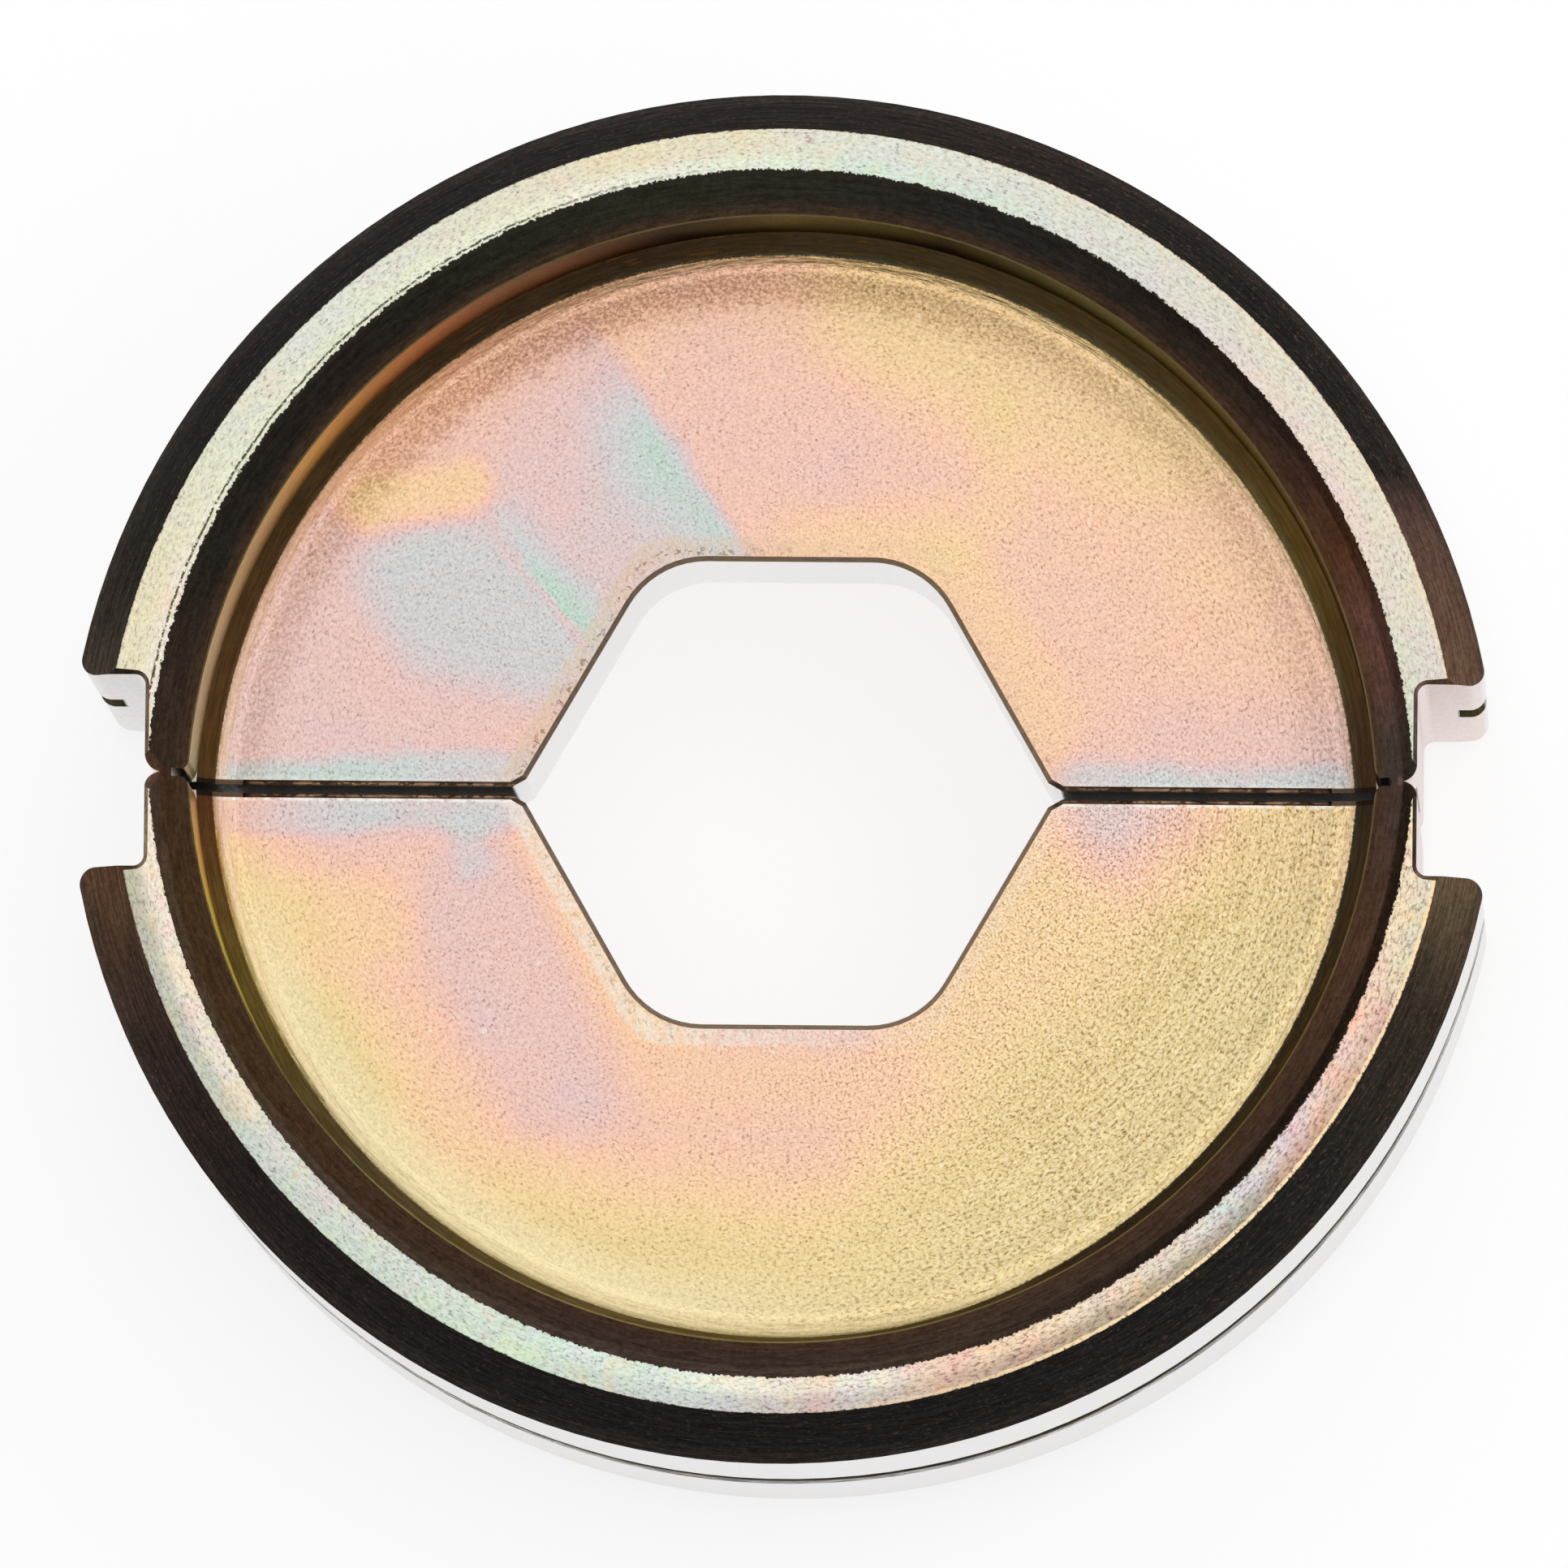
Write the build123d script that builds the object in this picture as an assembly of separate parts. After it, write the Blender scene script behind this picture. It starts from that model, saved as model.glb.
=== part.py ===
from build123d import *
import os
from math import sqrt

os.makedirs("parts", exist_ok=True)

# A pair of half dies for a hydraulic crimping tool, closed on a hexagonal nest.
# Each half is one piece of tool steel: turned as a round blank, sawn in two and
# milled. The pair lies flat on the rear of its rims. The connector's axis is +Z,
# the halves part along the XZ plane, and the origin is at the rear, mid-nest.

# Driving dimensions in millimetres

# Nest that shapes the connector
nest_across_flats = 17.3
nest_corner_radius = 3.3
crimp_width = 9.0

# Turned blank, with a pocket in each face whose wall stands on a bevelled and rounded foot
die_width = 25.0
seat_radius = 26.5
arc_centre_drop = 1.1
rim_width = 4.5
foot_bevel = 0.9
foot_radius = 1.2
groove_width = 3.0
groove_depth = 1.1

# Rim bevels, which the two halves carry in slightly different sizes
upper_outer_bevel = 1.4
upper_inner_bevel = 1.4
lower_outer_bevel = 1.75
lower_inner_bevel = 1.4

# Stepped rim ends, with a thin lip that reaches to the parting plane
lip_thickness = 1.55
notch_height = 3.55
notch_corner_radius = 0.4
shoulder_corner_radius = 0.6
notch_edge_bevel = 0.15
shoulder_bevel_flare_degrees = 5.0
lip_end_radius = 0.6
lip_end_bevel = 0.7

# Parting faces of the web, which stay just apart when the lips meet
parting_gap = 0.3
parting_corner_bevel = 0.35
edge_break = 0.18

# Values that follow from the driving dimensions
mid_plane = die_width / 2
pocket_radius = seat_radius - rim_width
pocket_depth = (die_width - crimp_width) / 2
web_front = die_width - pocket_depth
pocket_half_width = sqrt(pocket_radius**2 - arc_centre_drop**2)
lip_outer_face = pocket_half_width + lip_thickness
shoulder_tip = sqrt(seat_radius**2 - (notch_height + arc_centre_drop) ** 2)
lip_end_round = min(lip_end_radius, 0.42 * lip_thickness)
web_relief = parting_gap / 2
ring_inner_radius = pocket_radius - foot_bevel - foot_radius / 2 - edge_break
cut_over = 2.0
match_tolerance = 0.001


def corners_at(outline, x, y):
    """Corners of a flat outline at the given place, left and right."""
    return [
        corner
        for corner in outline.vertices()
        if abs(abs(corner.X) - x) < match_tolerance and abs(corner.Y - y) < match_tolerance
    ]


def both_faces(cutter):
    """A cutter for the front of the die, with its twin for the rear."""
    return cutter + mirror(cutter, about=Plane.XY.offset(mid_plane))


def both_ends(cutter):
    """A cutter for the right end of the rim, with its twin for the left."""
    return cutter + mirror(cutter, about=Plane.YZ)


def ring_section(outer_bevel, inner_bevel):
    """Half section of the turned rim, from the web's edge out to the seat."""
    groove_floor = seat_radius - groove_depth
    groove_rear = mid_plane - groove_width / 2
    groove_front = mid_plane + groove_width / 2
    outside = Polyline(
        (pocket_radius, inner_bevel),
        (pocket_radius + inner_bevel, 0),
        (seat_radius - outer_bevel, 0),
        (seat_radius, outer_bevel),
        (seat_radius, groove_rear),
        (groove_floor, groove_rear),
        (groove_floor, groove_front),
        (seat_radius, groove_front),
        (seat_radius, die_width - outer_bevel),
        (seat_radius - outer_bevel, die_width),
        (pocket_radius + inner_bevel, die_width),
        (pocket_radius, die_width - inner_bevel),
    )
    inside = FilletPolyline(
        (pocket_radius, die_width - inner_bevel),
        (pocket_radius, web_front + foot_bevel),
        (pocket_radius - foot_bevel, web_front),
        (ring_inner_radius, web_front),
        (ring_inner_radius, pocket_depth),
        (pocket_radius - foot_bevel, pocket_depth),
        (pocket_radius, pocket_depth - foot_bevel),
        (pocket_radius, inner_bevel),
        radius=[0, foot_radius, 0, 0, foot_radius, 0],
    )
    return make_face(outside.edges() + inside.edges())


def turned_ring(outer_bevel, inner_bevel):
    """Rim of the blank, with its bevels, its pocket walls and the groove round its seat."""
    ring = revolve(Plane.XZ * ring_section(outer_bevel, inner_bevel), Axis.Z)
    return Pos(0, -arc_centre_drop) * ring


def half_outline():
    """Outline of one half from the front, with a notch at each end of the rim."""
    disc = Pos(0, -arc_centre_drop) * Circle(seat_radius)
    upper_side = Pos(0, seat_radius / 2) * Rectangle(2 * seat_radius, seat_radius)
    notch_width = seat_radius - lip_outer_face
    notch = Pos(lip_outer_face + notch_width / 2, notch_height / 2) * Rectangle(notch_width, notch_height)
    outline = (disc & upper_side) - (notch + mirror(notch, about=Plane.YZ))
    outline = fillet(corners_at(outline, shoulder_tip, notch_height), shoulder_corner_radius)
    outline = fillet(corners_at(outline, lip_outer_face, notch_height), notch_corner_radius)
    return fillet(corners_at(outline, lip_outer_face, 0), lip_end_round)


def lip_rounding():
    """Cutter that rounds the pocket side of each lip where it meets the parting plane."""
    disc = Pos(0, -arc_centre_drop) * Circle(pocket_radius)
    beyond = Pos(0, -seat_radius / 2) * Rectangle(2 * seat_radius, seat_radius)
    mouth = disc + beyond
    mouth = fillet(corners_at(mouth, pocket_half_width, 0), lip_end_round)
    cutter = extrude(mouth - disc, pocket_depth + cut_over)
    return both_faces(Pos(0, 0, web_front + foot_bevel + edge_break) * cutter)


def bevel_wedge(size):
    """Triangle that takes a 45 degree bevel off a corner at its origin."""
    return Polygon(
        (-cut_over, -size - cut_over),
        (size + cut_over, cut_over),
        (-cut_over, cut_over),
        align=None,
    )


def notch_edges(rim):
    """Edges of the rim's flat front and rear that run round the notches."""
    return [
        edge
        for face in rim.faces().filter_by(Axis.Z)
        if abs(face.center().Z - mid_plane) > groove_width
        for edge in face.edges()
        if abs(edge.center().X) > lip_outer_face - match_tolerance
        and edge.center().Y < notch_height + match_tolerance
    ]


def rim_end_bevels():
    """Cutters for the bevels on the lips' ends and the widening ones on the shoulders."""
    along_x = Plane(origin=(0, 0, die_width), x_dir=(0, 1, 0), z_dir=(1, 0, 0))
    lip_end = extrude(along_x * bevel_wedge(lip_end_bevel), seat_radius)
    shoulder_start = lip_outer_face + notch_corner_radius
    shoulder_plane = along_x.offset(shoulder_start) * Pos(notch_height, 0) * Rot(0, shoulder_bevel_flare_degrees, 0)
    shoulder = extrude(shoulder_plane * bevel_wedge(notch_edge_bevel), seat_radius - shoulder_start)
    return both_faces(both_ends(lip_end + shoulder))


def parting_relief():
    """Cutter that sets the web's parting face back from the parting plane."""
    half_length = pocket_half_width + lip_end_round
    return Pos(0, web_relief - cut_over / 2, mid_plane) * Box(2 * half_length, cut_over, die_width)


def nest():
    """Hexagon of the closed die, with the corners at its two flats rounded."""
    hexagon = RegularPolygon(nest_across_flats / 2, 6, major_radius=False)
    half_flat = nest_across_flats / 2 / sqrt(3)
    upper = corners_at(hexagon, half_flat, nest_across_flats / 2)
    lower = corners_at(hexagon, half_flat, -nest_across_flats / 2)
    return fillet(upper + lower, nest_corner_radius)


def crimping_web():
    """Half disc that does the crimping, with half of the nest cut into it."""
    web_radius = pocket_radius - foot_bevel / 2
    disc = Pos(0, -arc_centre_drop) * Circle(web_radius)
    upper_side = Pos(0, web_relief + seat_radius / 2) * Rectangle(2 * seat_radius, seat_radius)
    outline = (disc & upper_side) - nest()
    nest_mouth = (nest_across_flats - web_relief) / sqrt(3)
    outline = chamfer(corners_at(outline, nest_mouth, web_relief), parting_corner_bevel)
    web = Pos(0, 0, pocket_depth) * extrude(outline, crimp_width)
    rim_arcs = [
        edge
        for edge in web.edges().filter_by(GeomType.CIRCLE)
        if abs(edge.radius - web_radius) < match_tolerance
    ]
    return chamfer(web.faces().filter_by(Axis.Z).edges() - ShapeList(rim_arcs), edge_break)


def die_half(outer_bevel, inner_bevel):
    """One half of the die, as the upper one lies."""
    rim = turned_ring(outer_bevel, inner_bevel) & extrude(half_outline(), die_width)
    rim = chamfer(notch_edges(rim), notch_edge_bevel)
    rim -= lip_rounding()
    rim -= rim_end_bevels()
    rim -= parting_relief()
    return rim + crimping_web()


upper_die_half = die_half(upper_outer_bevel, upper_inner_bevel)
lower_die_half = Rot(0, 0, 180) * die_half(lower_outer_bevel, lower_inner_bevel)

export_step(upper_die_half, "parts/upper_die_half.step")
export_step(lower_die_half, "parts/lower_die_half.step")
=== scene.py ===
from math import cos, e, pi, radians, sin, tan

import bpy
from mathutils import Matrix, Vector


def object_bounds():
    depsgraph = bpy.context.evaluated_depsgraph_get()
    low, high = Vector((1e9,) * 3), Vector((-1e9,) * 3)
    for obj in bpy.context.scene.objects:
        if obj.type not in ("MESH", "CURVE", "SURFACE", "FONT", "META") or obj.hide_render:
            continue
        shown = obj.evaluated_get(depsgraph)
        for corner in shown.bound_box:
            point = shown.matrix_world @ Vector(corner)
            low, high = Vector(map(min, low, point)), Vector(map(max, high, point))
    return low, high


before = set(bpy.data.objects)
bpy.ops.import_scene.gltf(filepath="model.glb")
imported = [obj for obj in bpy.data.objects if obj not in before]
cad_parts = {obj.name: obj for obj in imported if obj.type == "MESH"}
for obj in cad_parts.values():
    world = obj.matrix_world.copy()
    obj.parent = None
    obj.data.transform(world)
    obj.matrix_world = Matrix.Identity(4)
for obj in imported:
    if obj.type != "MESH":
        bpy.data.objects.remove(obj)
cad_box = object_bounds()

# Upper die half
# One piece of tool steel: a round blank turned with its bevels and pockets, sawn in two, milled and
# blasted. It is zinc plated and chromated, which leaves a thin film in yellow, pink, blue and green.

# Places on the turned blank in millimetres: the arcs' centre lies past the parting plane
mm = 1000
centre_drop = 1.1
mid_height = 12.5
face_height = 4.5
nest_half_width = 8.65
nest_slant = radians(30)
nest_rounding = 1.6
foot_radius = 20.6
foot_round = 1.2
foot_height = 0.9
pocket_radius = 22.0
rim_inner_radius = 23.4
rim_height = 10.65
seat_radius = 26.5
groove_radius = 25.4
groove_half_width = 1.5

# Colours of the film as it grows thicker
film_colours = (
    (0.00, "EED9A0"),
    (0.14, "ECD49A"),
    (0.27, "F4D59F"),
    (0.38, "F8D1A6"),
    (0.48, "F8CAAE"),
    (0.58, "F0C6B8"),
    (0.68, "E7C6C2"),
    (0.77, "DACCCC"),
    (0.86, "CFD3D2"),
    (0.93, "C3D6CB"),
    (1.00, "BFDCC8"),
)


def colour(code):
    """A colour for the renderer from a six-digit code."""
    parts = [int(code[i : i + 2], 16) / 255 for i in (0, 2, 4)]
    return (*[((part + 0.055) / 1.055) ** 2.4 if part > 0.04 else part / 12.92 for part in parts], 1)


def feed(tree, socket, value):
    """Gives a socket its value, from another socket or as a number or colour."""
    if isinstance(value, bpy.types.NodeSocket):
        tree.links.new(value, socket)
    elif isinstance(value, str):
        socket.default_value = colour(value)
    else:
        socket.default_value = value


def calc(tree, operation, *values):
    """One step of arithmetic in a material."""
    node = tree.nodes.new("ShaderNodeMath")
    node.operation = operation
    for socket, value in zip(node.inputs, values):
        feed(tree, socket, value)
    return node.outputs[0]


def product(tree, *values):
    """Several shares multiplied together."""
    total = values[0]
    for value in values[1:]:
        total = calc(tree, "MULTIPLY", total, value)
    return total


def rise(tree, value, start, end, low=0.0, high=1.0):
    """A smooth step from low at start to high at end."""
    node = tree.nodes.new("ShaderNodeMapRange")
    node.interpolation_type = "SMOOTHSTEP"
    names = ("Value", "From Min", "From Max", "To Min", "To Max")
    for name, given in zip(names, (value, start, end, low, high)):
        feed(tree, node.inputs[name], given)
    return node.outputs[0]


def fall(tree, value, start, end):
    """A smooth step from one at start to zero at end."""
    return rise(tree, value, start, end, 1, 0)


def band(tree, value, start, end, soft):
    """One between start and end, zero outside, with soft sides."""
    past_start = rise(tree, value, start - soft, start + soft)
    before_end = fall(tree, value, end - soft, end + soft)
    return product(tree, past_start, before_end)


def mixed(tree, share, first, second, way="MIX"):
    """The first colour with a share of the second over it."""
    node = tree.nodes.new("ShaderNodeMix")
    node.data_type = "RGBA"
    node.blend_type = way
    feed(tree, node.inputs[0], share)
    feed(tree, node.inputs[6], first)
    feed(tree, node.inputs[7], second)
    return node.outputs[2]


def ramp(tree, value, stops):
    """A colour picked along a row of colours."""
    node = tree.nodes.new("ShaderNodeValToRGB")
    row = node.color_ramp.elements
    while len(row) < len(stops):
        row.new(0.5)
    for element, (place, code) in zip(row, stops):
        element.position = place
        element.color = colour(code)
    feed(tree, node.inputs[0], value)
    return node.outputs[0]


def ramp_share(tree, value, stops):
    """A share picked along a row of shares."""
    node = tree.nodes.new("ShaderNodeFloatCurve")
    row = node.mapping.curves[0].points
    while len(row) < len(stops):
        row.new(0.5, 0.5)
    for point, (place, share) in zip(row, stops):
        point.location = (place, share)
    node.mapping.update()
    feed(tree, node.inputs["Value"], value)
    return node.outputs[0]


def noise(tree, place, size, detail=2.0, rough=0.5, warp=0.0):
    """Cloudy unevenness with spots of about the given size."""
    node = tree.nodes.new("ShaderNodeTexNoise")
    feed(tree, node.inputs["Vector"], place)
    feed(tree, node.inputs["Scale"], 1 / size)
    feed(tree, node.inputs["Detail"], detail)
    feed(tree, node.inputs["Roughness"], rough)
    feed(tree, node.inputs["Distortion"], warp)
    return node


def arrow(tree, operation, output, *values):
    """One step of arithmetic with directions or places."""
    node = tree.nodes.new("ShaderNodeVectorMath")
    node.operation = operation
    for socket, value in zip(node.inputs, values):
        feed(tree, socket, value)
    return node.outputs[output]


def joined(tree, x, y, z):
    """Three values as one place."""
    node = tree.nodes.new("ShaderNodeCombineXYZ")
    for socket, value in zip(node.inputs, (x, y, z)):
        feed(tree, socket, value)
    return node.outputs[0]


def patch(tree, where, start, end, core, reach, amount):
    """A soft patch round a short line, which adds to the film's thickness."""
    start, end = Vector((*start, 0)), Vector((*end, 0))
    run = end - start
    from_start = arrow(tree, "SUBTRACT", "Vector", where, start)
    share = arrow(tree, "DOT_PRODUCT", "Value", from_start, run / max(run.length_squared, 0.01))
    share = calc(tree, "MAXIMUM", calc(tree, "MINIMUM", share, 1), 0)
    nearest = arrow(tree, "MULTIPLY_ADD", "Vector", joined(tree, share, share, 0), run, start)
    return rise(tree, arrow(tree, "DISTANCE", "Value", where, nearest), core, reach, amount, 0)


def smear(tree, where, start, end, left, right, amount):
    """A straight smear of film, fading over one width on its left and another on its right."""
    start, end = Vector((*start, 0)), Vector((*end, 0))
    along = (end - start).normalized()
    across = Vector((-along.y, along.x, 0))
    from_start = arrow(tree, "SUBTRACT", "Vector", where, start)
    length = (end - start).length
    forward = arrow(tree, "DOT_PRODUCT", "Value", from_start, along)
    sideways = arrow(tree, "DOT_PRODUCT", "Value", from_start, across)
    lengthwise = band(tree, forward, 0, length, length * 0.18)
    across_it = product(tree, fall(tree, sideways, 0, left), rise(tree, sideways, -right, 0))
    return product(tree, lengthwise, across_it, amount)


def stretched(tree, radius, arc, share, height):
    """A place for patterns that run long round the blank, where the arc counts for a share."""
    return joined(tree, radius, calc(tree, "MULTIPLY", arc, share), height)


def die_places(tree, side):
    """Where a point of the steel lies: side is 1 on the upper half and -1 on the lower one."""
    where = tree.nodes.new("ShaderNodeTexCoord")
    point = arrow(tree, "MULTIPLY", "Vector", where.outputs["Object"], (mm, mm, mm))
    apart = tree.nodes.new("ShaderNodeSeparateXYZ")
    feed(tree, apart.inputs[0], point)
    x, y, z = apart.outputs
    geometry = tree.nodes.new("ShaderNodeNewGeometry")
    facing = tree.nodes.new("ShaderNodeSeparateXYZ")
    feed(tree, facing.inputs[0], geometry.outputs["Normal"])
    from_centre = calc(tree, "MULTIPLY_ADD", y, side, centre_drop)
    radius = calc(tree, "SQRT", calc(tree, "MULTIPLY_ADD", x, x, product(tree, from_centre, from_centre)))
    turn = calc(tree, "ARCTAN2", from_centre, x)
    arc = calc(tree, "MULTIPLY", turn, pocket_radius)
    height = calc(tree, "SUBTRACT", z, mid_height)
    gap = calc(tree, "ABSOLUTE", y)
    slanted = calc(tree, "MULTIPLY", gap, sin(nest_slant))
    slanted = calc(tree, "MULTIPLY_ADD", calc(tree, "ABSOLUTE", x), cos(nest_slant), slanted)
    nest_reach = calc(tree, "SMOOTH_MAX", gap, slanted, nest_rounding)
    clouds = noise(tree, point, 5.5, 3, 0.5, 0.5)
    shares = tree.nodes.new("ShaderNodeSeparateColor")
    feed(tree, shares.inputs[0], clouds.outputs["Color"])
    half_turn_share = calc(tree, "MULTIPLY_ADD", turn, 1 / pi, -0.035)
    fine = noise(tree, point, 0.13, 2, 0.6).outputs[0]
    lathe = joined(tree, radius, height, calc(tree, "MULTIPLY", arc, 0.12))
    return {
        "x": x,
        "y": y,
        "gap": gap,
        "radius": radius,
        "level": calc(tree, "ABSOLUTE", height),
        "sweep": calc(tree, "MULTIPLY_ADD", shares.outputs[1], 0.07, half_turn_share),
        "tilt": calc(tree, "ABSOLUTE", facing.outputs["Z"]),
        "from_nest": calc(
            tree, "MULTIPLY_ADD", fine, 0.12, calc(tree, "SUBTRACT", nest_reach, nest_half_width + 0.06)
        ),
        "clouds": shares.outputs[0],
        "shift": clouds.outputs["Color"],
        "fine": fine,
        "flecks": noise(tree, stretched(tree, radius, arc, 0.5, height), 0.1, 2, 0.6, 0.3).outputs[0],
        "coarse": noise(tree, point, 0.24, 2, 0.6, 0.8).outputs[0],
        "tints": noise(tree, point, 1.3, 2, 0.5, 0.6).outputs[0],
        "lines": noise(tree, lathe, 0.16, 3, 0.6).outputs[0],
        "wobble": noise(tree, point, 0.45, 2.5, 0.6).outputs[0],
        "rings": noise(tree, stretched(tree, radius, arc, 0.05, 0), 0.12, 1, 0.5).outputs[0],
        "streaks": noise(tree, stretched(tree, radius, arc, 0.4, 0), 0.1, 3, 0.6).outputs[0],
    }


def film(tree, place, half):
    """Thickness of the film over the web's face: a base, thinner near the pocket, and placed patches."""
    bend = 1.8
    flat_place = joined(tree, place["x"], place["y"], 0)
    bent = arrow(tree, "MULTIPLY_ADD", "Vector", place["shift"], (bend, bend, 0), flat_place)
    where = arrow(tree, "SUBTRACT", "Vector", bent, (bend / 2, bend / 2, 0))
    unevenness = 0.16
    thin_cloud = half["film_base"] - unevenness / 2
    total = calc(tree, "MULTIPLY_ADD", place["clouds"], unevenness, thin_cloud)
    outwards = calc(tree, "MULTIPLY_ADD", place["x"], 0.14, place["radius"])
    start, end, thinner = half["film_fall"]
    total = calc(tree, "SUBTRACT", total, rise(tree, outwards, start, end, 0, thinner))
    for shape, *sizes in half["patches"]:
        total = calc(tree, "ADD", total, shape(tree, where, *sizes))
    return calc(tree, "MULTIPLY_ADD", place["wobble"], 0.06, total)


def peppered(tree, place, skin, grain, dark_share, light_share):
    """Fine light and dark grain and short dark flecks from blasting and handling, and a few pale chips
    with painted glints.
    """
    grain_brown, grain_cream, pit_brown, chip_glint_white = "8A6A54", "FFF6DC", "8C6C58", "FFF8EE"
    dark_grain = product(tree, rise(tree, place["flecks"], 0.5, 0.64), grain)
    skin = mixed(tree, dark_grain, skin, grain_brown, "MULTIPLY")
    light_grain = product(tree, fall(tree, place["flecks"], 0.36, 0.5), grain, 0.85)
    skin = mixed(tree, light_grain, skin, grain_cream)
    small = rise(tree, place["flecks"], 0.57, 0.7)
    large = rise(tree, place["coarse"], 0.66, 0.74)
    crowded = rise(tree, place["tints"], 0.38, 0.6, 0.4, 1.0)
    pits = product(tree, calc(tree, "MAXIMUM", small, large), crowded, dark_share)
    skin = mixed(tree, pits, skin, pit_brown, "MULTIPLY")
    # Pale chips with painted glints
    chips_and_glints = product(tree, fall(tree, place["coarse"], 0.26, 0.3), light_share)
    return mixed(tree, chips_and_glints, skin, chip_glint_white)


def face_colour(tree, place, half):
    """Blasted face of the web, with a chattered band before the pocket's foot, a painted highlight band
    by the foot and a painted highlight along the parting edge.
    """
    ring_olive, highlight_cream, dent_brown, parting_highlight_white = "B8A878", "F8ECC4", "6A5648", "F7F4EC"
    x, radius, sweep, wobble = place["x"], place["radius"], place["sweep"], place["wobble"]
    skin = ramp(tree, film(tree, place, half), film_colours)
    grain = rise(tree, x, -6, 12, *half["grain"])
    skin = peppered(tree, place, skin, grain, half["flecks"], 0.45)
    turned = product(tree, rise(tree, place["rings"], 0.46, 0.62), band(tree, radius, 14.5, 20.8, 1.5))
    turned = product(tree, turned, rise(tree, x, 2, 12), half["rings"])
    skin = mixed(tree, turned, skin, ring_olive, "MULTIPLY")
    # Painted highlight: a cream band on the face before the foot
    painted_highlight_band = product(tree, rise(tree, radius, 18.8, foot_radius, 0, 0.75), fall(tree, sweep, 0.86, 0.97))
    painted_highlight_band = product(tree, painted_highlight_band, rise(tree, sweep, 0.4, 0.62), half["highlight_band_share"])
    skin = mixed(tree, painted_highlight_band, skin, highlight_cream)
    ragged = calc(tree, "MULTIPLY_ADD", wobble, 1.6, calc(tree, "SUBTRACT", radius, 0.8))
    nearness = rise(tree, ragged, half["band_start"], half["band_start"] + 1.0)
    chatter = rise(tree, place["fine"], 0.42, 0.58, 0.4, 1.0)
    chatter = product(tree, chatter, ramp_share(tree, sweep, half["band_share"]))
    chatter = product(tree, nearness, chatter, rise(tree, radius, 20.3, 20.8, 1.0, 0.8))
    skin = mixed(tree, chatter, skin, ramp(tree, sweep, half["band"]), "MULTIPLY")
    worn_start, worn_end, worn_share = half["worn"]
    worn = product(tree, band(tree, place["from_nest"], worn_start, worn_end, 0.12), worn_share)
    worn = product(tree, rise(tree, x, 4, -3, 0.3, 1.0), worn, rise(tree, wobble, 0.36, 0.56, 0.4, 1.0))
    skin = mixed(tree, worn, skin, half["worn_colour"])
    dent = band(tree, place["from_nest"], 0.2, 0.55, 0.12)
    dent = product(tree, dent, rise(tree, place["coarse"], 0.56, 0.61))
    dent = product(tree, dent, rise(tree, x, 2, -4, 0.2, 1.0), half["dents"])
    skin = mixed(tree, dent, skin, dent_brown)
    # Painted highlight along the parting edge
    parting_highlight = product(tree, band(tree, place["gap"], 0.3, 0.44, 0.05), rise(tree, wobble, 0.4, 0.52))
    return mixed(tree, product(tree, parting_highlight, half["parting_highlight"]), skin, parting_highlight_white)


def foot_start(tree, place, half):
    """Radius at which the face's film ends and the foot's painted shade begins."""
    return rise(tree, place["x"], *half["foot_start"])


def foot_colour(tree, place, face, half):
    """Foot of the pocket's wall: the face's film runs up its round with a painted highlight, and turns to
    dark olive as painted shade where the round turns from the light.
    """
    shade_olive, line_grey, line_highlight_yellow = "80703C", "8A8066", "D8A840"
    radius, sweep = place["radius"], place["sweep"]
    uneven = calc(tree, "MULTIPLY_ADD", place["wobble"], 0.16, calc(tree, "SUBTRACT", radius, 0.23))
    uneven = calc(tree, "MULTIPLY_ADD", place["fine"], 0.3, uneven)
    # Painted shade where the foot's round turns from the light
    painted_shade = rise(tree, calc(tree, "SUBTRACT", uneven, foot_start(tree, place, half)), -0.05, 0.05)
    # Painted highlight: the film lit up the foot's round, then shaded olive
    lit_skin = ramp(tree, sweep, half["foot_lit"])
    lit = mixed(tree, rise(tree, radius, 20.75, 21.15, 0, 0.6), face, lit_skin)
    lit = mixed(tree, rise(tree, radius, 21.1, 21.45, 0, 0.5), lit, shade_olive)
    dark = ramp(tree, sweep, half["foot"])
    dark = mixed(tree, rise(tree, place["lines"], 0.38, 0.62, 0, 0.4), dark, line_grey, "MULTIPLY")
    # Painted highlight lines of gold on the dark foot
    painted_line_highlights = product(tree, rise(tree, place["lines"], 0.6, 0.66), 0.35)
    dark = mixed(tree, painted_line_highlights, dark, line_highlight_yellow)
    return mixed(tree, painted_shade, lit, dark)


def wall_colour(tree, place, half):
    """Turned wall of the pocket with fine lines, painted golden where it reflects the lit face and dark
    olive as painted shade elsewhere.
    """
    line_brown = "6A5640"
    skin = ramp(tree, place["sweep"], half["wall"])
    return mixed(tree, rise(tree, place["lines"], 0.38, 0.66, 0, 0.4), skin, line_brown, "MULTIPLY")


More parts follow.
